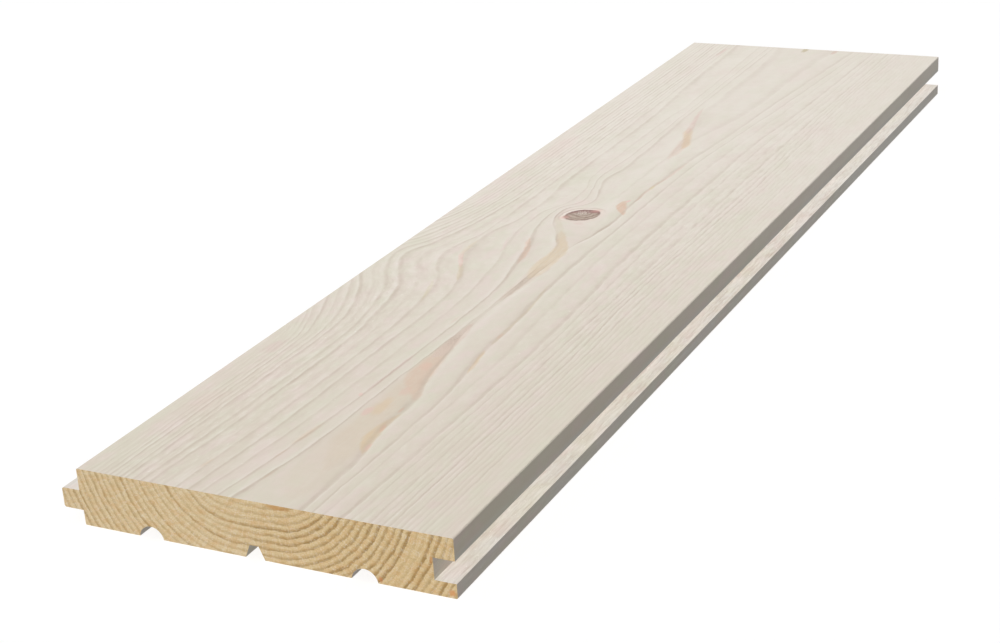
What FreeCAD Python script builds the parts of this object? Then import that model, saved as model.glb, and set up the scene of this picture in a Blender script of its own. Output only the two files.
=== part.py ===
import FreeCAD, Part
import os
import Sketcher

# A short piece of planed softwood board with a tongue on one edge and a groove on the other.
# The length runs along Y, the tongue points to -X, the groove opens to +X and the face looks up.
# The origin is the middle of the flat underside, with the tongue counted in the width.

NODE = "tongue_and_groove_board"

# Driving dimensions, in millimetres: name, value, what it measures
SIZES = (
    ("board_length", 545.0, "end to end"),
    ("board_thickness", 20.0, "underside to face"),
    ("cover_width", 135.0, "face left showing once the tongue is home in the next board"),
    ("tongue_length", 7.0, "shoulder to tongue tip"),
    ("tongue_thickness", 7.0, "underside of the tongue to its top"),
    ("tongue_gap", 0.25, "play above and below a tongue in its groove"),
    ("groove_gap", 0.3, "play between a tongue tip and the bottom of its groove"),
    ("lower_lip", 5.0, "thickness of the wood below the groove"),
    ("shoulder_setback", 0.5, "how far the shoulder under the tongue stands back"),
    ("relief_start", 26.4, "tongue-side shoulder to the first relief channel"),
    ("relief_pitch", 38.7, "from one relief channel to the next"),
    ("relief_radius", 4.6, "radius of the two rounded channels"),
    ("relief_sink", 0.6, "how far the centre of that round lies below the underside"),
    ("middle_relief_mouth", 7.0, "width of the middle channel at the underside"),
    ("middle_relief_floor", 3.2, "width of the middle channel at its top"),
    ("middle_relief_depth", 4.5, "underside to the top of the middle channel"),
    ("long_arris", 0.3, "chamfer along the four outer corners"),
    ("tongue_lead", 0.5, "chamfer along both corners of the tongue tip"),
)

# Lines of the section, as formulas on the driving dimensions
TONGUE_TIP = "-(sizes.cover_width + sizes.tongue_length) / 2"
LIP_FACE = "(sizes.cover_width + sizes.tongue_length) / 2"
SHOULDER = "(sizes.tongue_length - sizes.cover_width) / 2"
LOWER_SHOULDER = SHOULDER + " + sizes.shoulder_setback"
GROOVE_BOTTOM = LIP_FACE + " - sizes.tongue_length - sizes.groove_gap"
UNDERSIDE = "0"
FACE = "sizes.board_thickness"
TONGUE_UNDER = "sizes.lower_lip + sizes.tongue_gap"
TONGUE_TOP = TONGUE_UNDER + " + sizes.tongue_thickness"
GROOVE_UNDER = "sizes.lower_lip"
GROOVE_TOP = TONGUE_TOP + " + sizes.tongue_gap"
FIRST_RELIEF = SHOULDER + " + sizes.relief_start"
MIDDLE_RELIEF = FIRST_RELIEF + " + sizes.relief_pitch"


def make_sheet(doc):
    """The table of driving dimensions."""
    sheet = doc.addObject("Spreadsheet::Sheet", "sizes")
    for row, (alias, value, meaning) in enumerate(SIZES, start=1):
        sheet.set(f"A{row}", meaning)
        sheet.set(f"B{row}", str(value))
        sheet.setAlias(f"B{row}", alias)
    doc.recompute()
    return sheet


def section_sketch(body, name):
    """An empty sketch square to the length: its x runs along X and its y along Z."""
    plane = next(item for item in body.Origin.OriginFeatures if item.Role == "XZ_Plane")
    sketch = body.newObject("Sketcher::SketchObject", name)
    sketch.AttachmentSupport = [(plane, "")]
    sketch.MapMode = "FlatFace"
    return sketch


def number(sketch, formula):
    """What a formula comes to with the present dimensions."""
    return float(sketch.evalExpression(formula))


def dimension(sketch, name, formula, *where):
    """A dimension of the sketch that follows a formula."""
    index = sketch.addConstraint(Sketcher.Constraint(*where, number(sketch, formula)))
    sketch.renameConstraint(index, name)
    sketch.setExpression(f"Constraints.{name}", formula)


def outline(sketch, corners):
    """Straight lines round the corners, each corner placed from the origin by two formulas."""
    points = [FreeCAD.Vector(number(sketch, x), number(sketch, z), 0) for x, z in corners]
    for start, end in zip(points, points[1:] + points[:1]):
        sketch.addGeometry(Part.LineSegment(start, end), False)
    for line, (x, z) in enumerate(corners):
        following = (line + 1) % len(corners)
        sketch.addConstraint(Sketcher.Constraint("Coincident", line, 2, following, 1))
        dimension(sketch, f"x{line}", x, "DistanceX", -1, 1, line, 1)
        dimension(sketch, f"z{line}", z, "DistanceY", -1, 1, line, 1)


def rectangle(sketch, left, right, bottom, top):
    outline(sketch, [(left, bottom), (right, bottom), (right, top), (left, top)])


def planed_blank(doc, body):
    """The squared stick that the cutters start from, as wide as face and tongue together."""
    sketch = section_sketch(body, "blank_section")
    rectangle(sketch, TONGUE_TIP, LIP_FACE, UNDERSIDE, FACE)
    blank = body.newObject("PartDesign::Pad", "blank")
    blank.Profile = sketch
    blank.SideType = "Symmetric"
    blank.setExpression("Length", "sizes.board_length")
    sketch.Visibility = False
    doc.recompute()
    return blank


def run_through(doc, body, sketch, name):
    """A cut with the sketch's section, right through both ends. It has to take wood away."""
    before = body.Shape.Volume
    cut = body.newObject("PartDesign::Pocket", name)
    cut.Profile = sketch
    cut.SideType = "Symmetric"
    cut.Type = "ThroughAll"
    sketch.Visibility = False
    doc.recompute()
    if not body.Shape.Volume < before:
        raise RuntimeError(f"{name} took nothing away")
    return cut


def cut_rectangle(doc, body, name, left, right, bottom, top):
    sketch = section_sketch(body, f"{name}_section")
    rectangle(sketch, left, right, bottom, top)
    return run_through(doc, body, sketch, name)


def tongue(doc, body):
    """Two rebates leave the tongue standing. The lower shoulder stands back a little."""
    cut_rectangle(doc, body, "upper_rebate", TONGUE_TIP, SHOULDER, TONGUE_TOP, FACE)
    cut_rectangle(doc, body, "lower_rebate", TONGUE_TIP, LOWER_SHOULDER, UNDERSIDE, TONGUE_UNDER)


def groove(doc, body):
    """The slot that takes the next board's tongue."""
    cut_rectangle(doc, body, "groove", GROOVE_BOTTOM, LIP_FACE, GROOVE_UNDER, GROOVE_TOP)


def rounded_reliefs(doc, body):
    """Two rounded channels along the underside, one each side of the middle one."""
    sketch = section_sketch(body, "rounded_relief_section")
    centre = FreeCAD.Vector(number(sketch, FIRST_RELIEF), number(sketch, "-sizes.relief_sink"), 0)
    up = FreeCAD.Vector(0, 0, 1)
    sketch.addGeometry(Part.Circle(centre, up, number(sketch, "sizes.relief_radius")), False)
    dimension(sketch, "across", FIRST_RELIEF, "DistanceX", -1, 1, 0, 3)
    dimension(sketch, "sink", "-sizes.relief_sink", "DistanceY", -1, 1, 0, 3)
    dimension(sketch, "round", "sizes.relief_radius", "Radius", 0)
    first = run_through(doc, body, sketch, "rounded_relief")
    before = body.Shape.Volume
    pair = body.newObject("PartDesign::LinearPattern", "rounded_relief_pair")
    pair.Originals = [first]
    pair.Direction = (sketch, ["H_Axis"])
    pair.Occurrences = 2
    pair.setExpression("Length", "2 * sizes.relief_pitch")
    body.Tip = pair
    doc.recompute()
    if not body.Shape.Volume < before:
        raise RuntimeError("the second rounded relief took nothing away")


def middle_relief(doc, body):
    """The channel in the middle of the underside, with sloping sides and a flat top."""
    sketch = section_sketch(body, "middle_relief_section")
    mouth = "sizes.middle_relief_mouth / 2"
    floor = "sizes.middle_relief_floor / 2"
    corners = [
        (f"{MIDDLE_RELIEF} - {mouth}", UNDERSIDE),
        (f"{MIDDLE_RELIEF} + {mouth}", UNDERSIDE),
        (f"{MIDDLE_RELIEF} + {floor}", "sizes.middle_relief_depth"),
        (f"{MIDDLE_RELIEF} - {floor}", "sizes.middle_relief_depth"),
    ]
    outline(sketch, corners)
    run_through(doc, body, sketch, "middle_relief")


def long_edges(body, places):
    """The names of the edges that run the whole length at these places of the section."""
    names = []
    for index, edge in enumerate(body.Shape.Edges, start=1):
        middle = edge.CenterOfMass
        along = edge.BoundBox.YLength > 0.5 * body.Shape.BoundBox.YLength
        if along and any(abs(middle.x - x) < 1e-4 and abs(middle.z - z) < 1e-4 for x, z in places):
            names.append(f"Edge{index}")
    if len(names) != len(places):
        raise RuntimeError(f"{len(names)} of {len(places)} edges found")
    return names


def ease(doc, body, name, size, places):
    """A chamfer along long edges of the section."""
    base = body.Tip
    where = [(number(base, x), number(base, z)) for x, z in places]
    names = long_edges(body, where)
    chamfer = body.newObject("PartDesign::Chamfer", name)
    chamfer.Base = (base, names)
    chamfer.setExpression("Size", size)
    doc.recompute()


def eased_edges(doc, body):
    """The sharpness is off the outer corners, and the tongue has a lead into its groove."""
    corners = [(SHOULDER, FACE), (LIP_FACE, FACE), (LOWER_SHOULDER, UNDERSIDE), (LIP_FACE, UNDERSIDE)]
    ease(doc, body, "long_arrises", "sizes.long_arris", corners)
    tip = [(TONGUE_TIP, TONGUE_TOP), (TONGUE_TIP, TONGUE_UNDER)]
    ease(doc, body, "tongue_leads", "sizes.tongue_lead", tip)


def make_board(doc):
    body = doc.addObject("PartDesign::Body", NODE)
    body.Label = NODE
    planed_blank(doc, body)
    tongue(doc, body)
    groove(doc, body)
    rounded_reliefs(doc, body)
    middle_relief(doc, body)
    eased_edges(doc, body)
    return body


def check(doc, body):
    """Stop before writing if anything in the document failed."""
    for item in doc.Objects:
        if "Invalid" in item.State or "Error" in item.State:
            raise RuntimeError(f"{item.Name} failed: {item.State}")
    shape = body.Shape
    if shape.isNull() or not shape.isValid() or len(shape.Solids) != 1:
        raise RuntimeError(f"{body.Label} is not one sound solid")


def main():
    doc = FreeCAD.newDocument("board")
    make_sheet(doc)
    board = make_board(doc)
    doc.recompute()
    check(doc, board)
    os.makedirs("parts", exist_ok=True)
    board.Shape.exportStep(f"parts/{NODE}.step")
    box = board.Shape.BoundBox
    print(f"{NODE}: {box.XLength:.2f} x {box.YLength:.2f} x {box.ZLength:.2f} mm")
    print(f"volume {board.Shape.Volume / 1000:.1f} cm3")


main()
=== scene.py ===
import math

import bpy
from mathutils import Euler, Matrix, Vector

# A short piece of tongue and groove board in pale, whitened pine. Its shape is the CAD solid. What is
# made here is the wood: growth rings that bend round a knot and run down through the stick, so that the
# lines on the face go on in the groove and under the board, with resin stains and brushed fibre. The sawn
# ends are bare and have arcs of their own.

BOARD = "tongue_and_groove_board"
MM = 0.001

# Where the wood's own coordinates start: x from the shoulder above the tongue, y from the near end,
# z up from the underside, all in millimetres
SHOULDER = 64.0
HALF_LENGTH = 272.5
LENGTH = 545.0
THICKNESS = 20.0

# Sizes of cloud noise are in millimetres along each coordinate, or in rings where they run across the rings.
# A fade is (from, to, share at the start, share at the end), and holds beyond both. Without
# shares it runs from nothing to all.

# Grain lines on the face, as (ring number, stations). A station is (y along the board, x across it).
# Rings are counted from the heart of the tree, those towards the tongue with a minus sign.
GRAIN_LINES = (
    (-26, ((0, -13), (100, -12), (150, -26), (205, -41), (262, -21), (340, -16), (545, -16))),
    (-20, ((0, 1), (100, 1), (120, -1), (150, -12), (205, -27), (240, -16), (262, -7), (300, -3),
           (545, -3))),
    (-15, ((0, 11), (115, 10.5), (128, 7), (150, -2), (170, -10), (205, -17), (235, -6), (262, 4), (300, 7),
           (545, 7))),
    (-11, ((0, 19), (115, 19), (140, 17), (165, 8), (190, -4), (205, -6), (225, 4), (262, 12.5),
           (300, 14.5), (470, 15.5), (545, 14))),
    (-8, ((0, 28), (60, 30), (115, 30), (150, 26), (170, 22), (190, 11.5), (205, 7), (220, 12), (262, 19.5),
          (340, 22), (545, 21))),
    (-6, ((0, 38), (100, 40), (150, 38), (180, 33.5), (200, 23.5), (210, 21.5), (240, 26.5), (340, 26.5),
          (545, 23))),
    (-5, ((0, 42.5), (60, 45), (150, 45), (180, 42), (200, 34.5), (215, 29), (230, 28), (262, 33.5),
          (280, 33.5), (310, 31), (385, 31.5), (470, 27), (545, 25))),
    (-4, ((0, 47.5), (60, 51.5), (150, 52), (200, 47.5), (240, 39), (262, 38.5), (285, 44.5), (295, 44.5),
          (315, 40), (400, 39), (430, 40.5), (545, 38))),
    (-3, ((0, 53.5), (30, 56.5), (100, 59.5), (160, 60), (220, 52), (262, 43), (272, 43.5), (285, 49.5),
          (300, 47), (318, 43.5), (345, 45), (545, 43))),
    (-2, ((0, 58.5), (30, 62.3), (55, 63.9), (90, 64.1), (120, 64.9), (170, 65.4), (225, 63), (240, 57),
          (262, 46.5), (270, 46), (284, 54), (300, 50), (315, 47), (330, 49), (400, 47), (545, 46))),
    (-1, ((0, 66), (180, 66), (225, 65), (240, 60), (264, 52), (285, 60), (345, 61.5), (385, 57.5),
          (425, 51.5), (500, 51.5), (545, 48))),
    (1, ((0, 76), (100, 70), (180, 66.6), (240, 68), (264, 66), (285, 62), (345, 62.5), (385, 66.5),
         (405, 71), (425, 74), (485, 76), (545, 80))),
    (2, ((0, 84.5), (30, 84), (60, 80), (80, 79.5), (100, 74.5), (120, 71), (150, 67), (200, 68), (225, 68),
         (250, 72.5), (268, 73.4), (290, 71.8), (305, 71.6), (318, 72.9), (335, 73.4), (385, 78), (445, 82),
         (545, 90.5))),
    (3, ((0, 88), (85, 87.5), (120, 83.5), (150, 82), (190, 79), (320, 78), (385, 81.5), (440, 86.5),
         (545, 94))),
    (4, ((0, 92), (115, 92), (150, 89.5), (262, 84.5), (320, 85), (440, 91), (545, 97))),
    (5, ((0, 98.5), (120, 99.5), (262, 94), (365, 94), (440, 98), (545, 101))),
    (8, ((0, 107.5), (370, 107), (545, 109))),
    (11, ((0, 114), (120, 114.5), (190, 112.5), (340, 114.5), (465, 113), (545, 115))),
    (16, ((0, 123.5), (545, 124.5))),
    (22, ((0, 135), (545, 135.5))),
    (27, ((0, 145), (545, 145))),
)
# The grain lines' x values lie within this span, and neighbours stay apart by the gap at least
SPAN_START = -50.0
SPAN = 200.0
LEAST_GAP = 0.1
# How far the rings waver across the board
WAVER = 1.3
WAVER_SIZE = (7.0, 13.0)

# The lowest ring that the saw just grazes along the heart of the board, as (y, ring number)
HEART = ((0, 1.45), (50, 1.65), (110, 1.72), (145, 1.86), (175, 1.86), (200, 1.78), (235, 1.72), (262, 1.4),
         (292, 1.0), (355, 0.97), (370, 0.86), (400, 0.7), (430, 0.6), (545, 0.6))

# Distance of a ring from the pith in millimetres: core + first * ring - closing * ring squared
RING_CORE = 17.9
RING_FIRST = 3.6
RING_CLOSING = 0.045
PITH_ABOVE_FACE = 20.0

# How strong each ring's line is, from the first ring at the heart outwards, on the side of the tongue and
# on the side of the groove
TONGUE_SIDE_LINES = (0.6, 1.0, 0.85, 0.45, 0.75, 0.65, 0.25, 0.85, 0.65, 0.3, 0.75, 0.6, 0.3, 0.75, 0.45,
                     0.4, 0.2, 0.2, 0.1)
GROOVE_SIDE_LINES = (0.6, 0.9, 0.75, 0.3, 0.7, 0.45, 0.3, 0.65, 0.35, 0.65, 0.8, 0.35, 0.65, 0.3, 0.4, 0.4,
                     0.6, 0.2, 0.2)
# No ring is counted beyond this on either side
RING_SPAN = 30.0

# One line across its ring, as (part of the ring, depth of tone), in the wide rings at the heart and in the
# dense ones at the sides. The late wood darkens slowly, ends sharply and has a pale flank beyond it, the
# next ring's pale wood with a painted highlight on it, which counts below 0. A whole ring number falls just
# past the line, so the count is moved back.
LINE_START = 0.45
WIDE_RING = ((0.0, 0.0), (0.15, 0.05), (0.28, 0.2), (0.37, 0.65), (0.44, 1.0), (0.5, 0.75), (0.55, 0.0),
             (0.6, -0.35), (0.7, -0.2), (0.82, -0.05), (1.0, 0.0))
DENSE_RING = ((0.0, -0.05), (0.15, 0.15), (0.3, 0.6), (0.42, 0.95), (0.52, 0.7), (0.63, 0.0), (0.74, -0.35),
              (0.87, -0.25), (1.0, -0.05))
DENSE_FROM_RING = (4.0, 9.0)
LINE_TONE = 0.53
# How far a line drifts off its ring, in rings
LINE_DRIFT = 0.24
DRIFT_SIZE = (1 / 1.5, 22.0)
# Each line comes and goes along its length
LINE_FADE = (0.3, 0.65, 0.4, 1.2)
LINE_FADE_SIZE = (1 / 3.7, 26.0)
# How strong the heart's own lines are along the board, as (part of the length, strength), and the rings
# that count as the heart's
HEART_LINES = ((0.0, 1.0), (0.24, 1.1), (0.3, 1.25), (0.43, 1.25), (0.55, 0.95), (0.72, 0.7), (1.0, 0.7))
HEART_RINGS = (3.6, 2.4)
# What the other lines lose towards the far end, by ring, counted below 0 towards the tongue
LINE_LOSSES = ((-8.0, -5.0, 0.0, 0.3), (9.0, 13.0, 0.0, 0.4))
LOSS_ALONG = (190.0, 420.0)
# Where the lines are faint, beside the knot and the resin: middle x and y, half width and half length
FADED_LINES = ((53.0, 250.0, 6.5, 15.0), (63.0, 215.0, 6.0, 22.0), (66.6, 158.0, 2.2, 24.0))
FAINT = (0.5, 1.2, 0.3, 1.0)

# Depth of tone and size of the brushed surface's fibre, fine and broad, and of its short pale flecks,
# which are painted highlights of the brushed relief and also raise its bump
FINE_FIBRE = 0.7
FINE_FIBRE_SIZE = (1 / 3.2, 5.0, 1 / 1.3)
BROAD_FIBRE = 0.6
BROAD_FIBRE_SIZE = (1 / 1.3, 14.0, 1 / 1.3)
FLECK_HIGHLIGHT_TONE = 0.35
FLECK_HIGHLIGHT_SIZE = (1 / 3.6, 1.8, 1 / 1.3)
FLECK_HIGHLIGHT_FADE = (0.66, 0.8)
# The fibre is weak at the heart, by ring, and at both long edges, by the distance from the middle
FIBRE_BY_RING = (2.0, 8.0, 0.3, 1.0)
FIBRE_MIDDLE = 64.0
FIBRE_TO_EDGES = (48.0, 60.0, 1.0, 0.6)
FIBRE_LOW_DOWN = (14.0, 12.0, 1.0, 2.2)
FIBRE_FAR_OFF = (330.0, 480.0, 1.0, 0.7)
# It is worn smoother on the face in the near corner by the groove
SMOOTH_ACROSS = (85.0, 110.0)
SMOOTH_ALONG = (170.0, 70.0)
SMOOTH_UP = (12.0, 14.0, 0.0, 0.4)
# Lines and fibre together are fainter on upright surfaces and on the tongue, and stronger on low ones
GRAIN_UPRIGHT = (0.3, 0.8, 1.0, 0.35)
GRAIN_ON_TONGUE = (-1.0, 0.5, 0.2, 1.0)
GRAIN_LOW_DOWN = (100.0, 420.0, 1.45, 2.0)

# Colours as written in a paint program, 0 to 255
# The far colour is painted paler, a gradient of light along the board
FACE_FAR_PAINTED_LIGHT = (225, 218, 207)
FACE_NEAR = (213, 203, 188)
FACE_DARK = (182, 164, 148)
# The light colour takes the painted highlights of the pale flecks as well as the wood's own pale tones
FACE_LIGHT = (245, 241, 234)
FACE_OLIVE = (212, 209, 190)
FACE_ROSE = (222, 206, 199)
# A cooler grey painted on the low surfaces against the warm bounce light in the groove
LOWER_PAINTED_COUNTER_BOUNCE = (215, 213, 210)
# The face is painted paler towards the far end as a light gradient, and painted greyer low down
# against the warm bounce light in the groove
PAINTED_LIGHT_ALONG = (0.0, 420.0)
LOW_DOWN = (15.0, 13.0)
COUNTER_BOUNCE_SHARE = 0.6
# Rosy and olive patches, wide ones and small ones, as (size, detail, roughness, noise from and to, share
# along the board, how far the olive ones are shifted)
PATCHES = (
    ((11.0, 32.0, 11.0), 3.0, 0.6, (0.45, 0.72), (320.0, 460.0, 0.55, 0.35), (7.3, 2.9, 0.0)),
    ((6.0, 13.0, 6.0), 2.0, 0.5, (0.5, 0.68), (240.0, 400.0, 0.45, 0.12), (4.1, 8.7, 0.0)),
)

# Long stains that follow the grain, as (colour, strength, softness of the edges, stations). A station is
# (y, left edge, right edge), and a stain comes to a point at both its ends.
BANDS = (
    ((212, 199, 182), 0.45, 5.0, ((2, 77, 77), (12, 70, 81), (25, 66, 82), (40, 66, 80.5), (62, 67, 77.5),
                                  (104, 67, 73), (140, 67.5, 67.5))),
    ((211, 196, 177), 0.6, 4.5, ((20, 77, 77), (38, 70.5, 79.5), (52, 67, 78.5), (62, 67, 77.4),
                                 (80, 66.8, 77), (104, 66.5, 73), (118, 67, 69.6), (140, 67.5, 67.5))),
    ((214, 192, 158), 0.85, 1.8, ((37, 83.2, 83.2), (43, 79.4, 82.2), (48, 77, 81), (54, 76, 80.2),
                                  (60, 76.8, 79.4), (67, 78.2, 79.4), (72, 79.4, 79.4))),
    ((213, 188, 168), 0.75, 2.6, ((77, 79.2, 79.2), (83, 76, 79), (88, 71.6, 77.4), (94, 67.4, 75.4),
                                  (100, 65.4, 74.8), (108, 65.2, 73.4), (115, 65.4, 71.8),
                                  (122, 65.6, 70.2), (129, 66, 69.4), (135, 67.6, 67.6))),
    ((213, 194, 180), 0.9, 1.2, ((113, 67, 67), (120, 65.4, 70.8), (128, 65.4, 70.2), (136, 65.6, 69.6),
                                 (143, 65.8, 68), (150, 66.8, 66.8))),
    ((211, 195, 180), 0.85, 1.6, ((167, 66, 66), (176, 64.8, 67.8), (184, 64.1, 68.4), (192, 63.9, 69.3),
                                  (199, 63.9, 69.8), (204, 65, 70.6), (209, 68, 68))),
    ((215, 197, 171), 0.9, 1.6, ((192, 66.5, 66.5), (200, 63.8, 69.6), (209, 62.3, 69.8), (218, 62.5, 69.5),
                                 (225, 62.4, 68.8), (231, 61.6, 66.6), (237, 58.8, 63.2), (242, 57, 60.6),
                                 (248, 56, 56))),
    ((212, 202, 182), 0.55, 1.6, ((236, 60, 60), (242, 56.6, 60.6), (247, 54.2, 57.6), (254, 50.6, 53.6),
                                  (260, 48, 49.8), (266, 47, 47))),
    ((206, 196, 166), 0.6, 1.0, ((156, 38.8, 38.8), (165, 36.3, 37.5), (177, 32.7, 34.1), (184, 31, 31))),
    ((210, 196, 172), 0.85, 1.2, ((181, 42, 42), (187, 39.2, 40.9), (193, 36.6, 38.9), (199, 34, 35.9),
                                  (204, 32, 32))),
    ((223, 194, 184), 0.8, 1.2, ((195, 36.6, 36.6), (201, 32.8, 34.8), (206, 30.3, 32.3), (211, 28.2, 30),
                                 (217, 28.6, 28.6))),
    ((214, 201, 181), 0.8, 1.0, ((207, 30.4, 30.4), (213, 27.8, 29.6), (220, 27.4, 29.3),
                                 (230, 28.6, 28.6))),
    ((217, 188, 168), 0.85, 1.2, ((204, 56, 56), (212, 54, 55.6), (219, 52.2, 54.4), (226, 49.8, 52.4),
                                  (232, 47.8, 49.6), (238, 46.8, 46.8))),
    ((219, 201, 193), 0.7, 1.2, ((212, 44, 44), (222, 41.6, 42.9), (230, 39.5, 40.5), (238, 38.5, 38.5))),
    ((212, 192, 170), 0.7, 1.4, ((35, 56.2, 56.2), (42, 56.4, 58), (50, 57.2, 58.8), (58, 58.4, 58.4))),
    ((205, 182, 172), 0.8, 1.0, ((76, 59, 59), (88, 58.9, 60), (100, 59.2, 60.2), (112, 59.4, 60.4),
                                 (119, 60, 60))),
    ((210, 188, 158), 0.85, 1.0, ((103, 86, 86), (110, 84.1, 85.5), (116, 82.9, 84.6), (122, 82, 83.5),
                                  (128, 82, 82))),
    ((207, 194, 170), 0.7, 1.0, ((128, 82.2, 82.2), (134, 81.4, 82.6), (143, 80.9, 82.1), (160, 80.2, 81.2),
                                 (172, 79.3, 80.3), (183, 77.7, 78.7), (194, 76.8, 76.8))),
    ((215, 184, 162), 0.9, 1.4, ((270, 74.2, 74.2), (274, 70.8, 73.2), (278, 67.8, 71.8), (282, 66, 70.6),
                                 (286, 66, 69), (290, 67.5, 67.5))),
    ((212, 190, 175), 0.8, 1.0, ((286, 71.4, 71.4), (292, 71, 72.2), (300, 70.6, 71.8), (310, 71, 72.2),
                                 (322, 72.4, 73.4), (338, 73, 74), (350, 74.2, 74.2))),
    ((218, 197, 184), 0.7, 2.0, ((345, 63.5, 63.5), (352, 62, 64.4), (360, 60.6, 65), (368, 59.6, 64.6),
                                 (377, 58.7, 62.3), (384, 58.5, 58.5))),
    ((217, 193, 163), 0.78, 2.0, ((360, 64, 64), (368, 62, 65.2), (375, 60, 63.6), (382, 57.2, 61.2),
                                  (389, 55.4, 59), (397, 55.8, 55.8))),
    ((214, 190, 180), 0.68, 1.6, ((383, 58, 58), (391, 55.3, 58.1), (399, 54, 56.6), (406, 52.6, 54.8),
                                  (414, 51.4, 53.2), (422, 50.2, 51.4), (431, 50, 50))),
)
# Their edges wander, and their strength is patchy
BAND_WANDER = 1.3
BAND_WANDER_SIZE = (1.6, 8.0)
BAND_FADE = (0.3, 0.6, 0.6, 1.0)
BAND_FADE_SIZE = (0.9, 5.0)

# Spots of resin, as middle x and y, half width and half length, how far across it runs for each millimetre
# along, colour, strength
SPOTS = (
    (70.5, 73.0, 3.6, 9.0, -0.1, (214, 193, 164), 0.7),
    (67.6, 68.0, 2.0, 5.0, 0.0, (219, 190, 178), 0.7),
    (72.0, 86.0, 2.6, 5.0, -0.3, (216, 188, 172), 0.6),
    (78.0, 72.0, 0.9, 3.0, 0.0, (217, 184, 162), 0.7),
    (79.0, 58.0, 1.1, 4.0, -0.2, (219, 180, 154), 0.8),
    (68.8, 107.0, 3.0, 5.0, -0.2, (218, 187, 169), 0.6),
    (81.5, 44.0, 1.2, 4.0, -0.2, (222, 188, 176), 0.7),
    (58.7, 79.0, 1.0, 1.9, -0.5, (221, 187, 176), 0.7),
    (38.2, 17.7, 0.9, 5.0, 0.1, (210, 193, 172), 0.7),
    (61.4, 16.5, 0.9, 6.0, 0.1, (209, 191, 172), 0.75),
    (57.0, 31.0, 0.9, 5.0, 0.1, (211, 193, 176), 0.7),
    (59.6, 256.8, 2.8, 2.0, 0.0, (214, 190, 180), 0.7),
    (59.0, 148.0, 1.0, 8.0, 0.05, (213, 194, 180), 0.55),
    (81.6, 139.0, 0.9, 4.0, 0.0, (214, 186, 168), 0.7),
    (68.6, 288.4, 1.1, 2.6, 0.2, (226, 193, 184), 0.9),
    (71.6, 308.0, 1.2, 4.0, 0.0, (213, 201, 162), 0.7),
    (64.3, 543.0, 2.2, 7.0, 0.0, (196, 184, 156), 0.9),
    (80.5, 541.0, 1.6, 6.0, 0.1, (210, 184, 170), 0.7),
    (22.0, 530.0, 1.5, 12.0, 0.0, (216, 192, 183), 0.6),
    (11.0, 58.0, 7.0, 13.0, 0.0, (216, 199, 188), 0.55),
    (7.5, 105.0, 4.0, 9.0, 0.0, (214, 194, 186), 0.6),
    (119.5, 17.0, 3.0, 4.0, 0.0, (215, 196, 189), 0.5),
    (8.0, 350.0, 7.0, 28.0, 0.0, (224, 208, 200), 0.6),
    (61.0, 253.0, 6.0, 9.0, -0.3, (224, 210, 201), 0.5),
    (50.5, 281.0, 4.5, 6.0, -0.2, (227, 210, 203), 0.5),
)
# A spot is ragged, and has its full strength so many half sizes from its middle
SPOT_RAGGED_SIZE = (2.0, 9.0)
SPOT_FULL = 0.3
# How deep the stains go: from nothing at the one height to all at the other
STAIN_DEPTH = (15.0, 19.0)

# The knot: its middle on the face, half length and half width, the turn of its length from straight across
# the board, and how it widens with depth. The eye and the tips are in its own half sizes.
KNOT_PLACE = (56.9, 266.8)
KNOT_HALF = (8.0, 6.45)
KNOT_TURN = 50.0
KNOT_POINTED = 0.15
KNOT_WIDENING = 0.012
KNOT_EYE = (0.2, 0.4)
KNOT_TIPS = ((-0.88, 0.28), (0.93, 0.22))
# Its rings: how many to a half size, how far they waver, and how much of the beige they show at most
KNOT_RINGS = 3.0
KNOT_RING_WAVER = 1.8
KNOT_RING_SHARE = 0.8
# It is maroon beyond a slanting line
KNOT_MAROON_SLANT = 0.9
KNOT_MAROON_FADE = (0.25, 0.8, 0.0, 0.85)
# The star of pale cracks round its eye: how many to a half size, how wide, and how far out it shows
KNOT_CRACKS = (5.5, 4.0, 1.0)
KNOT_CRACK_WIDTH = 0.07
KNOT_STAR_FADE = (0.55, 0.2)
# Its ragged outline, its dark rim just inside, stronger on the far side, and the rosy halo round it
KNOT_RAGGED = 0.24
KNOT_CLOUDS = (2.6, 2.0, 1.0)
KNOT_EDGE = (1.06, 0.94)
KNOT_FAR_SIDE = (-0.5, 0.6)
KNOT_RIM_FADE = (0.7, 0.95, 0.0, 1.0)
KNOT_RIM_BY_SIDE = (0.0, 1.0, 0.35, 0.75)
KNOT_HALO_FADE = (1.7, 1.0, 0.0, 0.45)
KNOT_TIP_FADE = (0.4, 0.05, 0.0, 0.6)
# Round it on the far side, as distance in half sizes, half width, colour, strength
KNOT_COLLARS = (
    (1.32, 0.1, (196, 180, 167), 0.65),
    (1.14, 0.1, (238, 230, 219), 0.8),
)
KNOT_BROWN = (146, 125, 112)
KNOT_BEIGE = (192, 175, 159)
KNOT_RIM = (128, 100, 92)
KNOT_MAROON = (134, 90, 86)
KNOT_PINK = (216, 168, 158)
KNOT_STAR = (224, 214, 202)
KNOT_HALO = (226, 206, 197)

# Growth rings on the sawn ends: arcs round the pith, which lies above the board. Towards the tongue they
# close a little tighter round it, which shifts their middle. All in millimetres.
END_PITH = (71.0, 39.0)
END_PITH_LEFT = (61.0, 34.0)
END_SHIFT = 5.0
# From the pith to the first ring, and from ring to ring
END_CORE = 17.0
END_RING = 2.31
# Across the board, where the one middle gives way to the other, and where the wood turns golden
END_SIDES = (48.0, 82.0)
END_TURNS_GOLDEN = (55.0, 90.0)
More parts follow.
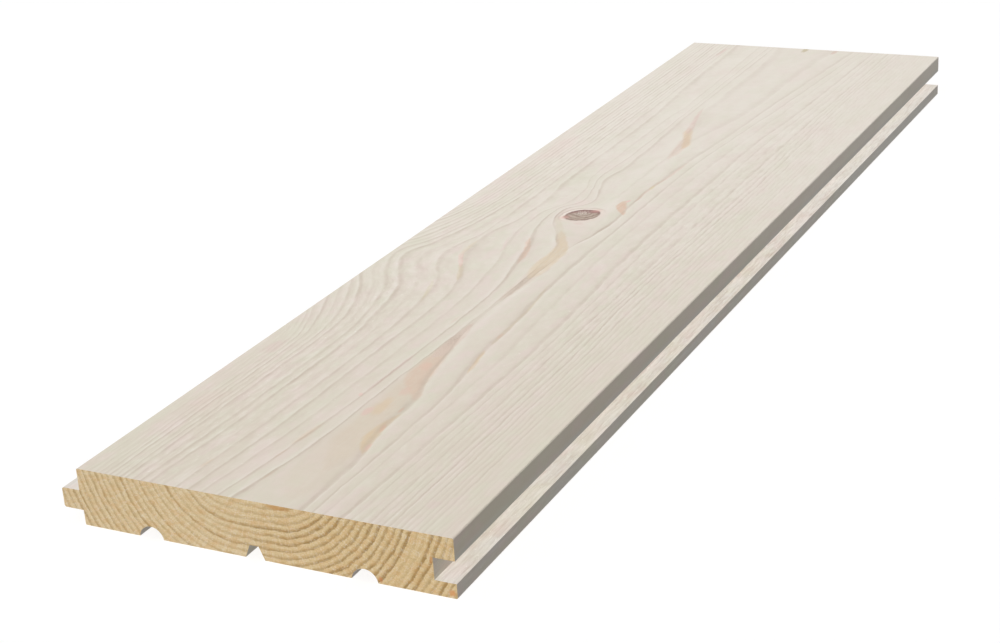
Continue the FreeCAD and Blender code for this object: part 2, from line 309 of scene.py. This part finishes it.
# One line across its ring, as (part of the ring, depth of tone), and how strong each ring's line is, from
# the first one outwards, on the side of the tongue and on the side of the groove
END_PROFILE = ((0.0, 0.05), (0.15, 0.0), (0.38, 0.12), (0.6, 0.6), (0.8, 1.0), (0.92, 0.8), (1.0, 0.08))
END_LINES_LEFT = (0.3, 0.3, 0.4, 0.4, 0.4, 0.85, 0.35, 0.4, 1.0, 0.45, 0.5, 0.4, 0.85, 0.5, 0.6, 1.0, 0.7,
                  0.6, 0.65, 0.75, 0.8, 0.8, 0.65, 1.0, 1.0, 0.6, 0.7, 0.7, 0.5, 0.5)
END_LINES_RIGHT = (0.4, 0.4, 0.5, 0.5, 0.55, 1.0, 0.85, 1.0, 0.65, 0.7, 0.75, 0.75, 1.0, 0.65, 0.7, 0.9,
                   1.0, 0.25, 0.25, 1.0, 0.85, 0.5, 0.5, 1.0, 0.6, 0.5, 0.6, 0.5, 0.5, 0.5)
# How far the arcs waver, in long waves and in short ones
END_WAVE = 1.4
END_WAVE_SIZE = (5.0, 5.0)
END_SHAKE = 0.9
END_SHAKE_SIZE = (1.1, 1.1)
# How deep the lines are across the board and in patches
END_CONTRAST = (40.0, 100.0, 0.95, 1.25)
END_UNEVEN = (0.3, 0.7, 0.6, 1.1)
END_UNEVEN_SIZE = (3.0, 3.0)
# Sizes of the rays and layers, in radians round the pith and millimetres out from it, and of the saw's marks
END_RAY_SIZE = (1 / 60, 7.0)
END_LAYER_SIZE = (1 / 16, 1 / 1.7)
END_MARK_SIZE = (0.5, 0.5)
# Depth of tone of the saw's marks, the rays, the layers and the uneven patches
END_TONES = (1.3, 0.6, 0.7, 0.3)
# Warm patches
END_WARMTH = (0.45, 0.75, 0.0, 0.45)
END_WARM_SIZE = (4.0, 2.0)
END_PALE = (223, 201, 160)
END_GOLDEN = (222, 196, 149)
END_LINE = (178, 147, 99)
END_DEEP_LINE = (169, 138, 89)
END_SHADE = (176, 147, 103)
END_WARM = (213, 164, 104)
# Resin on the near end, as middle x and z, half width and half height, colour, strength
END_SPOTS = (
    (75.5, 19.2, 6.0, 1.1, (193, 145, 88), 0.75),
    (133.3, 1.7, 1.7, 1.4, (216, 150, 92), 0.75),
    (109.3, 1.5, 0.9, 1.4, (205, 135, 92), 0.6),
    (127.0, 11.5, 0.6, 2.0, (206, 144, 84), 0.6),
)
END_SPOT_FULL = 0.4
NEAR_END = (2.0, 1.0)

# A surface is a sawn one when it faces along the board by more than this
SAWN_FROM = 0.5
# Relief of the brushed grain and of the saw's marks, in metres from a tone of 0 to a tone of 1, and how
# much the rings of the sawn ends stand out against the marks
FACE_RELIEF = 0.00008
END_RELIEF = 0.00015
END_RING_RELIEF = 0.5
FACE_ROUGHNESS = 0.68
END_ROUGHNESS = 0.85
GLOSS = 0.15


def colour(rgb):
    """A colour of 0 to 255 steps as Blender's linear values."""
    linear = []
    for step in rgb:
        part = step / 255.0
        linear.append(part / 12.92 if part <= 0.04045 else ((part + 0.055) / 1.055) ** 2.4)
    return (*linear, 1.0)


class Graph:
    """Adds nodes to one tree, each by a call that returns what the node gives."""

    def __init__(self, tree):
        self.tree = tree

    def put(self, socket, value):
        if isinstance(value, bpy.types.NodeSocket):
            self.tree.links.new(value, socket)
        else:
            socket.default_value = value

    def add(self, kind, values=(), **settings):
        node = self.tree.nodes.new(kind)
        for name, setting in settings.items():
            setattr(node, name, setting)
        for key, value in dict(values).items():
            self.put(node.inputs[key], value)
        return node

    def math(self, operation, *values):
        return self.add("ShaderNodeMath", dict(enumerate(values)), operation=operation).outputs[0]

    def product(self, first, *others):
        for other in others:
            first = self.math("MULTIPLY", first, other)
        return first

    def swing(self, value, reach):
        """A noise of 0 to 1 turned into a shift of half the reach either way."""
        return self.math("MULTIPLY_ADD", value, reach, -reach / 2)

    def vector_math(self, operation, *values):
        node = self.add("ShaderNodeVectorMath", dict(enumerate(values)), operation=operation)
        return node.outputs["Value" if operation == "LENGTH" else "Vector"]

    def span(self, value, low, high, to_low=0.0, to_high=1.0, easing="LINEAR"):
        """The value moved from one span to another, and held at its ends."""
        spans = {"Value": value, "From Min": low, "From Max": high, "To Min": to_low, "To Max": to_high}
        node = self.add("ShaderNodeMapRange", spans, interpolation_type=easing, clamp=True)
        return node.outputs["Result"]

    def curve(self, value, points):
        """A smooth curve through points whose places run from 0 to 1."""
        node = self.add("ShaderNodeFloatCurve", {"Value": value})
        line = node.mapping.curves[0]
        node.mapping.use_clip = False
        for _ in points[2:]:
            line.points.new(0.5, 0.5)
        for point, place in zip(line.points, points):
            point.location = place
            point.handle_type = "AUTO_CLAMPED"
        node.mapping.update()
        return node.outputs[0]

    def mix(self, share, first, second):
        """Two colours mixed, each given as a socket or as a colour of 0 to 255."""
        node = self.add("ShaderNodeMix", data_type="RGBA", clamp_factor=True)
        self.put(node.inputs[0], share)
        for socket, value in ((node.inputs[6], first), (node.inputs[7], second)):
            self.put(socket, colour(value) if isinstance(value, tuple) else value)
        return node.outputs[2]

    def point(self, x, y, z=0.0):
        return self.add("ShaderNodeCombineXYZ", {"X": x, "Y": y, "Z": z}).outputs[0]

    def split(self, vector):
        return tuple(self.add("ShaderNodeSeparateXYZ", {0: vector}).outputs)

    def scaled(self, place, size):
        """A point whose coordinates are counted in sizes."""
        return self.point(*(self.math("DIVIDE", value, width) for value, width in zip(place, size)))

    def noise(self, vector, detail=2.0, roughness=0.5, distortion=0.0):
        """Cloud noise from 0 to 1, with features about one unit of the vector wide."""
        settings = {"Vector": vector, "Scale": 1.0, "Detail": detail, "Roughness": roughness,
                    "Distortion": distortion}
        return self.add("ShaderNodeTexNoise", settings).outputs[0]

    def clouds(self, place, size, detail=2.0, roughness=0.5):
        """Cloud noise from 0 to 1, with features of about the given size along each coordinate."""
        return self.noise(self.scaled(place, size), detail, roughness)

    def local(self, point, middle, half_size, turn=0.0):
        """The point as seen from a turned frame at the middle, counted in half sizes."""
        settings = {"Vector": point, "Location": (*middle, 0.0), "Scale": (*half_size, 1.0),
                    "Rotation": (0.0, 0.0, turn)}
        return self.add("ShaderNodeMapping", settings, vector_type="TEXTURE").outputs[0]


def wood_coordinates(g):
    """Millimetres across, along and up the board, from its near lower corner under the shoulder."""
    place = g.add("ShaderNodeTexCoord").outputs["Object"]
    shift = (SHOULDER, HALF_LENGTH, 0.0)
    mapping = g.add("ShaderNodeMapping", {"Vector": place, "Location": shift, "Scale": (1 / MM,) * 3})
    return g.split(mapping.outputs[0])


def line_place(g, along, stations):
    """How far across the board a grain line runs, at each place along it."""
    points = [(y / LENGTH, (x - SPAN_START) / SPAN) for y, x in stations]
    return g.math("MULTIPLY_ADD", g.curve(along, points), SPAN, SPAN_START)


def signed_distance(g, ring, minus_heart_squared):
    """A ring's distance, counted in rings, from the middle of the board's heart stripe."""
    square = g.math("MAXIMUM", g.math("ADD", minus_heart_squared, float(ring * ring)), 0.0)
    return g.math("MULTIPLY", g.math("SQRT", square), math.copysign(1.0, ring))


def face_rings(g, x, y):
    """The ring number at a place of the face, and the signed distance that it is made of."""
    along = g.math("DIVIDE", y, LENGTH)
    heart = g.curve(along, [(place / LENGTH, ring) for place, ring in HEART])
    heart_squared = g.math("MULTIPLY", heart, heart)
    minus_heart_squared = g.math("MULTIPLY", heart_squared, -1.0)
    lines = []
    for ring, stations in GRAIN_LINES:
        place = line_place(g, along, stations)
        if lines:
            place = g.math("MAXIMUM", place, g.math("ADD", lines[-1][0], LEAST_GAP))
        lines.append((place, signed_distance(g, ring, minus_heart_squared)))
    total = lines[0][1]
    for (start, near), (end, far) in zip(lines, lines[1:]):
        step = g.math("SUBTRACT", far, near)
        total = g.math("ADD", total, g.span(x, start, end, 0.0, step))
    return g.math("SQRT", g.math("MULTIPLY_ADD", total, total, heart_squared)), total


def rings_below(g, ring, z):
    """The ring number under a place of the face: the rings curve round the pith above the board."""
    closing = g.math("MULTIPLY_ADD", ring, -RING_CLOSING, RING_FIRST)
    radius = g.math("MULTIPLY_ADD", closing, ring, RING_CORE)
    depth = g.math("SUBTRACT", THICKNESS, z)
    drop = g.math("MULTIPLY", depth, g.math("ADD", depth, 2 * PITH_ABOVE_FACE))
    deep_radius = g.math("SQRT", g.math("MULTIPLY_ADD", radius, radius, drop))
    middle = RING_FIRST / (2 * RING_CLOSING)
    left = g.math("MULTIPLY_ADD", deep_radius, -1 / RING_CLOSING, middle * middle + RING_CORE / RING_CLOSING)
    return g.math("SUBTRACT", middle, g.math("SQRT", g.math("MAXIMUM", left, 0.0)))


def line_strengths():
    """The strengths of the lines as points of a curve, from the tongue side's last to the groove side's."""
    signed = [(-count, dark) for count, dark in enumerate(TONGUE_SIDE_LINES, start=1)][::-1]
    signed += list(enumerate(GROOVE_SIDE_LINES, start=1))
    return [(ring / RING_SPAN / 2 + 0.5, dark) for ring, dark in signed]


def lines_left(g, ring, signed, x, y):
    """How much is left of the lines at a place, by ring, along the board and beside the knot."""
    lost = g.math("ADD", *(g.span(signed, *loss) for loss in LINE_LOSSES))
    left = g.math("SUBTRACT", 1.0, g.math("MULTIPLY", lost, g.span(y, *LOSS_ALONG)))
    bolder = g.math("SUBTRACT", g.curve(g.math("DIVIDE", y, LENGTH), HEART_LINES), 1.0)
    left = g.math("MULTIPLY", left, g.math("MULTIPLY_ADD", bolder, g.span(ring, *HEART_RINGS), 1.0))
    place = g.point(x, y)
    for middle_x, middle_y, half_width, half_length in FADED_LINES:
        from_middle = g.local(place, (middle_x, middle_y), (half_width, half_length))
        left = g.math("MULTIPLY", left, g.span(g.vector_math("LENGTH", from_middle), *FAINT))
    return left


def long_lines(g, ring, side, x, y):
    """The late wood's lines on the planed surfaces, strong in some rings and faint in others."""
    signed = g.math("MULTIPLY", ring, side)
    drift = g.clouds((signed, y), DRIFT_SIZE, detail=4.0, roughness=0.6)
    shaken = g.math("ADD", ring, g.math("SUBTRACT", g.swing(drift, LINE_DRIFT), LINE_START))
    part = g.math("FRACT", shaken)
    # Below 0 the profile gives the pale flank beyond a line: pale early wood with a painted highlight
    wide = g.curve(part, WIDE_RING)
    narrower = g.math("SUBTRACT", g.curve(part, DENSE_RING), wide)
    profile = g.math("MULTIPLY_ADD", g.span(ring, *DENSE_FROM_RING), narrower, wide)
    whole = g.math("MULTIPLY", g.math("CEIL", shaken), side)
    strength = g.curve(g.math("MULTIPLY_ADD", whole, 0.5 / RING_SPAN, 0.5), line_strengths())
    fade = g.clouds((whole, y), LINE_FADE_SIZE, detail=5.0, roughness=0.68)
    return g.product(profile, strength, g.span(fade, *LINE_FADE), lines_left(g, ring, signed, x, y))


def fibre(g, across, x, y, z):
    """Brushed fibre along the grain, with pale flecks of painted highlight: strong in the dense wood, weak
    at the heart.
    """
    place = (across, y, z)
    fine = g.clouds(place, FINE_FIBRE_SIZE, detail=4.0, roughness=0.55)
    broad = g.clouds(place, BROAD_FIBRE_SIZE, detail=3.0)
    # Short pale flecks: painted highlights of the brushed relief, which also count in the bump
    fleck_highlight = g.clouds(place, FLECK_HIGHLIGHT_SIZE, detail=1.0)
    tone = g.math("ADD", g.swing(broad, BROAD_FIBRE), g.swing(fine, FINE_FIBRE))
    tone = g.math("MULTIPLY_ADD", g.span(fleck_highlight, *FLECK_HIGHLIGHT_FADE), -FLECK_HIGHLIGHT_TONE, tone)
    to_edge = g.math("ABSOLUTE", g.math("SUBTRACT", x, FIBRE_MIDDLE))
    smooth = g.product(g.span(x, *SMOOTH_ACROSS), g.span(y, *SMOOTH_ALONG), g.span(z, *SMOOTH_UP))
    shares = (
        g.span(g.math("ABSOLUTE", across), *FIBRE_BY_RING),
        g.span(to_edge, *FIBRE_TO_EDGES),
        g.span(z, *FIBRE_LOW_DOWN),
        g.span(y, *FIBRE_FAR_OFF),
        g.math("SUBTRACT", 1.0, smooth),
    )
    return g.product(tone, *shares)


def toned(g, surface, tone, dark, light):
    """A tone laid over the surface colour: above 0 towards the dark colour, below 0 the light one."""
    surface = g.mix(g.math("MAXIMUM", tone, 0.0), surface, dark)
    return g.mix(g.math("MAXIMUM", g.math("MULTIPLY", tone, -1.0), 0.0), surface, light)


def whitened(g, x, y, z, low_down):
    """The whitened wood between its lines: painted paler far off as a light gradient, painted greyer low
    down against the groove's warm bounce light, with rosy and olive patches.
    """
    # Painted light: paler towards the far end, and a cooler grey low down against the groove's bounce light
    surface = g.mix(g.span(y, *PAINTED_LIGHT_ALONG, easing="SMOOTHSTEP"), FACE_NEAR, FACE_FAR_PAINTED_LIGHT)
    surface = g.mix(g.math("MULTIPLY", low_down, COUNTER_BOUNCE_SHARE), surface, LOWER_PAINTED_COUNTER_BOUNCE)
    for size, detail, roughness, visible, along, olive_shift in PATCHES:
        rosy_place = g.scaled((x, y, z), size)
        olive_place = g.vector_math("ADD", rosy_place, olive_shift)
        share = g.span(y, *along)
        for place, tint in ((rosy_place, FACE_ROSE), (olive_place, FACE_OLIVE)):
            patch = g.noise(place, detail, roughness)
            surface = g.mix(g.span(patch, *visible, 0.0, share), surface, tint)
    return surface


def stain_edges(stations, softness):
    """Both edges of a stain, moved out between its ends, so that the stated ones are at half strength."""
    spread = [softness / 2] * len(stations)
    spread[0] = spread[-1] = 0.0
    left = [(y, edge - more) for (y, edge, _), more in zip(stations, spread)]
    right = [(y, edge + more) for (y, _, edge), more in zip(stations, spread)]
    return left, right


def banded(g, surface, x, y, reach):
    """The long stains over the surface colour, each between its two edges."""
    along = g.math("DIVIDE", y, LENGTH)
    wander = g.clouds((x, y), BAND_WANDER_SIZE, detail=3.0)
    here = g.math("ADD", x, g.swing(wander, BAND_WANDER))
    patchy = g.clouds((x, y), BAND_FADE_SIZE, detail=3.0)
    kept = g.math("MULTIPLY", g.span(patchy, *BAND_FADE), reach)
    for tint, strength, softness, stations in BANDS:
        left, right = (line_place(g, along, edge) for edge in stain_edges(stations, softness))
        inside = g.math("MINIMUM", g.math("SUBTRACT", here, left), g.math("SUBTRACT", right, here))
        share = g.span(inside, 0.0, softness, 0.0, strength, "SMOOTHSTEP")
        surface = g.mix(g.math("MULTIPLY", share, kept), surface, tint)
    return surface


def spot(g, distance, full, strength, reach):
    """How much of a spot's colour shows at a distance from its middle, counted in its half sizes."""
    return g.math("MULTIPLY", g.span(distance, 1.0, full, 0.0, strength, "SMOOTHSTEP"), reach)


def spotted(g, surface, x, y, reach):
    """The spots of resin over the surface colour."""
    ragged = g.swing(g.clouds((x, y), SPOT_RAGGED_SIZE, detail=4.0), 1.0)
    place = g.point(x, y)
    for middle_x, middle_y, half_width, half_length, slope, tint, strength in SPOTS:
        from_middle = g.local(place, (middle_x, middle_y), (half_width, half_length), -math.atan(slope))
        distance = g.math("ADD", g.vector_math("LENGTH", from_middle), ragged)
        surface = g.mix(spot(g, distance, SPOT_FULL, strength, reach), surface, tint)
    return surface


def end_arcs(g, x, z):
    """Distance and angle of a place of the sawn end from the pith."""
    u = g.math("SUBTRACT", x, END_PITH[0])
    v = g.math("SUBTRACT", z, END_PITH[1])
    right_radius = g.vector_math("LENGTH", g.point(u, v))
    left_u = g.math("SUBTRACT", x, END_PITH_LEFT[0])
    left_v = g.math("SUBTRACT", z, END_PITH_LEFT[1])
    left_radius = g.math("ADD", g.vector_math("LENGTH", g.point(left_u, left_v)), END_SHIFT)
    groove_side = g.span(x, *END_SIDES, easing="SMOOTHSTEP")
    radius = g.math("MULTIPLY_ADD", g.math("SUBTRACT", right_radius, left_radius), groove_side, left_radius)
    return radius, g.math("ARCTAN2", u, v), groove_side


def end_lines(g, x, z, radius, groove_side, shake, uneven):
    """Depth of the late wood's lines on the sawn ends."""
    wave = g.clouds((x, z), END_WAVE_SIZE, detail=1.0)
    waved = g.math("ADD", radius, g.swing(wave, END_WAVE))
    waved = g.math("ADD", waved, g.swing(shake, END_SHAKE))
    ring = g.math("MULTIPLY_ADD", waved, 1 / END_RING, -END_CORE / END_RING)
    profile = g.curve(g.math("FRACT", ring), END_PROFILE)
    whole = g.math("DIVIDE", g.math("CEIL", ring), float(len(END_LINES_LEFT)))
    left, right = (g.curve(whole, [(count / len(lines), dark) for count, dark in enumerate(lines)])
                   for lines in (END_LINES_LEFT, END_LINES_RIGHT))
    even = g.math("MULTIPLY_ADD", g.math("SUBTRACT", right, left), groove_side, left)
    return g.product(profile, even, g.span(x, *END_CONTRAST), g.span(uneven, *END_UNEVEN))


def end_resin(g, surface, x, y, z, shake):
    """The resin on the near end, over its colour."""
    place = g.point(x, z)
    ragged = g.swing(shake, 1.0)
    near = g.span(y, *NEAR_END)
    for middle_x, middle_z, half_width, half_height, tint, strength in END_SPOTS:
        from_middle = g.local(place, (middle_x, middle_z), (half_width, half_height))
        distance = g.math("ADD", g.vector_math("LENGTH", from_middle), ragged)
        surface = g.mix(spot(g, distance, END_SPOT_FULL, strength, near), surface, tint)
    return surface


def end_grain(g, x, y, z):
    """The sawn ends: arcs of early and late wood, mottled by the saw, with rays across them.

    Gives the colour and the height."""
    radius, turn, groove_side = end_arcs(g, x, z)
    shake = g.clouds((x, z), END_SHAKE_SIZE, detail=2.0)
    uneven = g.clouds((x, z), END_UNEVEN_SIZE, detail=3.0)
    dark = end_lines(g, x, z, radius, groove_side, shake, uneven)
    marks = g.clouds((x, z), END_MARK_SIZE, detail=3.0, roughness=0.7)
    rays = g.clouds((turn, radius), END_RAY_SIZE, detail=2.0)
    layers = g.clouds((turn, radius), END_LAYER_SIZE, detail=3.0)
    tone = 0.0
    for clouds, depth in zip((marks, rays, layers, uneven), END_TONES):
        tone = g.math("ADD", g.swing(clouds, depth), tone)
    golden = g.span(x, *END_TURNS_GOLDEN)
    early = g.mix(golden, END_PALE, END_GOLDEN)
    surface = g.mix(dark, early, g.mix(golden, END_LINE, END_DEEP_LINE))
    warm = g.clouds((x, z), END_WARM_SIZE, detail=3.0)
    surface = g.mix(g.span(warm, *END_WARMTH), surface, END_WARM)
    surface = toned(g, surface, tone, END_SHADE, FACE_LIGHT)
    surface = end_resin(g, surface, x, y, z, shake)
    return surface, g.math("MULTIPLY_ADD", dark, END_RING_RELIEF, marks)


def knot_heartwood(g, local, u, v, uneven):
    """The knot's own wood: rings round its eye, maroon on its far side, and a star of cracks."""
    eye_distance = g.vector_math("LENGTH", g.vector_math("SUBTRACT", local, (*KNOT_EYE, 0.0)))
    turns = g.math("MULTIPLY", eye_distance, KNOT_RINGS)
    turns = g.math("ADD", turns, g.math("MULTIPLY", uneven, KNOT_RING_WAVER))
    wave = g.math("SINE", g.math("MULTIPLY", turns, math.tau))
    streak = g.math("MULTIPLY_ADD", wave, KNOT_RING_SHARE / 2, KNOT_RING_SHARE / 2)
    surface = g.mix(streak, KNOT_BROWN, KNOT_BEIGE)
    slant = g.math("ADD", g.math("MULTIPLY", u, KNOT_MAROON_SLANT), v)
    surface = g.mix(g.span(slant, *KNOT_MAROON_FADE, "SMOOTHSTEP"), surface, KNOT_MAROON)
    crack = g.noise(g.vector_math("MULTIPLY", local, KNOT_CRACKS), detail=3.0, distortion=1.5)
    ridge = g.span(g.math("ABSOLUTE", g.math("SUBTRACT", crack, 0.5)), KNOT_CRACK_WIDTH, 0.0)
    return g.mix(g.math("MULTIPLY", ridge, g.span(eye_distance, *KNOT_STAR_FADE)), surface, KNOT_STAR)


def knotted(g, surface, x, y, z):
    """The knot over the surface colour: a branch that goes right through the board."""
    depth = g.math("SUBTRACT", THICKNESS, z)
    growth = g.math("MULTIPLY_ADD", depth, KNOT_WIDENING, 1.0)
    local = g.local(g.point(x, y), KNOT_PLACE, KNOT_HALF, math.radians(KNOT_TURN))
    u, v = (g.math("DIVIDE", value, growth) for value in g.split(local)[:2])
    uneven = g.noise(g.vector_math("MULTIPLY", local, KNOT_CLOUDS), detail=3.0)
    narrowing = g.math("MULTIPLY_ADD", g.math("MULTIPLY", u, u), KNOT_POINTED, 1.0)
    radius = g.vector_math("LENGTH", g.point(u, g.math("MULTIPLY", v, narrowing)))
    radius = g.math("ADD", radius, g.swing(uneven, KNOT_RAGGED))
    far_side = g.span(v, *KNOT_FAR_SIDE)
    rim = g.span(radius, *KNOT_RIM_FADE, "SMOOTHSTEP")
    rim = g.math("MULTIPLY", rim, g.span(far_side, *KNOT_RIM_BY_SIDE))
    inside = g.mix(rim, knot_heartwood(g, local, u, v, uneven), KNOT_RIM)
    around = g.mix(g.span(radius, *KNOT_HALO_FADE, "SMOOTHSTEP"), surface, KNOT_HALO)
    for distance, half_width, tint, strength in KNOT_COLLARS:
        from_middle = g.math("ABSOLUTE", g.math("SUBTRACT", radius, distance))
        collar = g.span(from_middle, half_width, 0.0, 0.0, strength)
        around = g.mix(g.math("MULTIPLY", collar, far_side), around, tint)
    whole = g.mix(g.span(radius, *KNOT_EDGE, easing="SMOOTHSTEP"), around, inside)
    for tip in KNOT_TIPS:
        tip_distance = g.vector_math("LENGTH", g.vector_math("SUBTRACT", g.point(u, v), (*tip, 0.0)))
        whole = g.mix(g.span(tip_distance, *KNOT_TIP_FADE), whole, KNOT_PINK)
    return whole


def planed_face(g, x, y, z, upright):
    """The planed and whitened surfaces, smoother where they stand upright.

    Gives the colour and the height."""
    waver = g.clouds((x, y), WAVER_SIZE, detail=3.0, roughness=0.6)
    face_ring, across = face_rings(g, g.math("ADD", x, g.swing(waver, WAVER)), y)
    ring = rings_below(g, face_ring, z)
    lines = long_lines(g, ring, g.math("SIGN", across), x, y)
    low_down = g.span(z, *LOW_DOWN)
    surface = whitened(g, x, y, z, low_down)
    reach = g.span(z, *STAIN_DEPTH)
    surface = banded(g, surface, x, y, reach)
    surface = spotted(g, surface, x, y, reach)
    rougher = g.span(low_down, 0.0, 1.0, 1.0, g.span(y, *GRAIN_LOW_DOWN))
    rough = g.product(g.span(upright, *GRAIN_UPRIGHT), g.span(x, *GRAIN_ON_TONGUE), rougher)
    tone = g.math("MULTIPLY_ADD", lines, LINE_TONE, fibre(g, across, x, y, z))
    tone = g.math("MULTIPLY", tone, rough)
    surface = toned(g, surface, tone, FACE_DARK, FACE_LIGHT)
    surface = knotted(g, surface, x, y, z)
    return surface, g.math("MULTIPLY", tone, -1.0)


def pine(material):
    """Pale whitened pine on every long surface, and bare yellow end grain on the sawn ends."""
    tree = material.node_tree
    tree.nodes.clear()
    g = Graph(tree)
    x, y, z = wood_coordinates(g)
    facing = g.split(g.add("ShaderNodeTexCoord").outputs["Normal"])
    planed, planed_height = planed_face(g, x, y, z, g.math("ABSOLUTE", facing[0]))
    end, end_height = end_grain(g, x, y, z)
    sawn = g.math("GREATER_THAN", g.math("ABSOLUTE", facing[1]), SAWN_FROM)
    surface = g.mix(sawn, planed, end)
    planed_height = g.math("MULTIPLY", planed_height, FACE_RELIEF)
    end_height = g.math("MULTIPLY", end_height, END_RELIEF)
    step = g.math("SUBTRACT", end_height, planed_height)
    height = g.math("MULTIPLY_ADD", sawn, step, planed_height)
    relief = g.add("ShaderNodeBump", {"Height": height, "Strength": 1.0, "Distance": 1.0})
    roughness = g.span(sawn, 0.0, 1.0, FACE_ROUGHNESS, END_ROUGHNESS)
    settings = {"Base Color": surface, "Roughness": roughness, "Specular IOR Level": GLOSS,
                "Normal": relief.outputs[0]}
    shader = g.add("ShaderNodeBsdfPrincipled", settings)
    output = g.add("ShaderNodeOutputMaterial")
    tree.links.new(shader.outputs[0], output.inputs["Surface"])


def dress_board():
    board = bpy.data.objects[BOARD]
    material = bpy.data.materials.new("whitened_pine")
    material.use_nodes = True
    pine(material)
    board.data.materials.clear()
    board.data.materials.append(material)


# Studio. Light is given as a share of what makes a white surface that faces it white.
SKY = 0.25
FLOOR_BOUNCE = (150, 150, 148)
FLOOR_WHITE = (255, 255, 255)
FLOOR_LIFT = 0.03
FLOOR_HALF = 3.0
FLOOR_GAP = 0.0001
# Suns, as (name, azimuth, elevation, share), and how wide they look from the board, all in degrees
SUNS = (
    ("key", -8.0, 54.0, 0.72),
    ("front_fill", -10.0, 8.0, 0.2),
    ("right_fill", 80.0, 10.0, 0.09),
    ("back_fill", 215.0, 20.0, 0.3),
)
SUN_SPREAD = 20.0


def sees_background(g):
    """1 for the rays that show the background itself, in view, in gloss or through glass."""
    path = g.add("ShaderNodeLightPath").outputs
    flag = path["Is Camera Ray"]
    for name in ("Is Glossy Ray", "Is Transmission Ray"):
        flag = g.math("MAXIMUM", flag, path[name])
    return flag


def make_world():
    world = bpy.data.worlds.new("studio")
    world.use_nodes = True
    world.node_tree.nodes.clear()
    g = Graph(world.node_tree)
    strength = g.span(sees_background(g), 0.0, 1.0, SKY, 1.0)
    background = g.add("ShaderNodeBackground", {"Color": (1.0, 1.0, 1.0, 1.0), "Strength": strength})
    output = g.add("ShaderNodeOutputWorld")
    world.node_tree.links.new(background.outputs[0], output.inputs["Surface"])
    bpy.context.scene.world = world


def make_floor():
    mesh = bpy.data.meshes.new("floor")
    corners = [(x * FLOOR_HALF, y * FLOOR_HALF, -FLOOR_GAP) for x, y in ((-1, -1), (1, -1), (1, 1), (-1, 1))]
    mesh.from_pydata(corners, [], [(0, 1, 2, 3)])
    floor = bpy.data.objects.new("floor", mesh)
    bpy.context.collection.objects.link(floor)
    material = bpy.data.materials.new("white_floor")
    material.use_nodes = True
    material.node_tree.nodes.clear()
    g = Graph(material.node_tree)
    shown = sees_background(g)
    paint = g.add("ShaderNodeBsdfDiffuse", {"Color": g.mix(shown, FLOOR_BOUNCE, FLOOR_WHITE)})
    lift = g.add("ShaderNodeEmission", {"Strength": g.math("MULTIPLY", shown, FLOOR_LIFT)})
    both = g.add("ShaderNodeAddShader", {0: paint.outputs[0], 1: lift.outputs[0]})
    output = g.add("ShaderNodeOutputMaterial")
    material.node_tree.links.new(both.outputs[0], output.inputs["Surface"])
    mesh.materials.append(material)


def make_suns():
    """Even light from far away. Azimuth is counted from the near end towards the groove side."""
    for name, azimuth, elevation, share in SUNS:
        light = bpy.data.lights.new(name, "SUN")
        light.energy = share * math.pi
        light.angle = math.radians(SUN_SPREAD)
        light.use_shadow = False
        lamp = bpy.data.objects.new(name, light)
        lamp.rotation_euler = Euler((math.radians(90.0 - elevation), 0.0, math.radians(azimuth)))
        bpy.context.collection.objects.link(lamp)


# The photograph's camera: its lens and sensor in millimetres, where it stands and what it looks at in
# millimetres from the board's middle, its roll in degrees, and its nearest view in metres
LENS = 69.757
SENSOR = 36.0
EYE = (314.49, -699.26, 287.18)
AIM = (-11.25, -77.78, 0.0)
ROLL = 3.805
NEAREST = 0.01


def make_camera():
    camera_data = bpy.data.cameras.new("camera")
    camera_data.lens = LENS
    camera_data.sensor_width = SENSOR
    camera_data.clip_start = NEAREST
    camera = bpy.data.objects.new("camera", camera_data)
    eye = Vector(EYE) * MM
    sight = (Vector(AIM) * MM - eye).to_track_quat("-Z", "Y")
    roll = Euler((0.0, 0.0, math.radians(-ROLL))).to_quaternion()
    camera.location = eye
    camera.rotation_euler = (sight @ roll).to_euler()
    bpy.context.collection.objects.link(camera)
    bpy.context.scene.camera = camera


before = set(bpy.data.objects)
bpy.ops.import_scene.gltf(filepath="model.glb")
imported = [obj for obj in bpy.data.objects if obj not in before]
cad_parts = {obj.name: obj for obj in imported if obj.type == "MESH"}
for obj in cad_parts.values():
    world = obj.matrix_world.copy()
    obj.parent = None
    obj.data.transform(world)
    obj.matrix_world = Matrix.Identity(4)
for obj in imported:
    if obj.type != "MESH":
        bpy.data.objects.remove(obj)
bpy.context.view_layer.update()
bpy.context.scene.view_settings.view_transform = "Standard"
dress_board()
make_world()
make_floor()
make_suns()
make_camera()
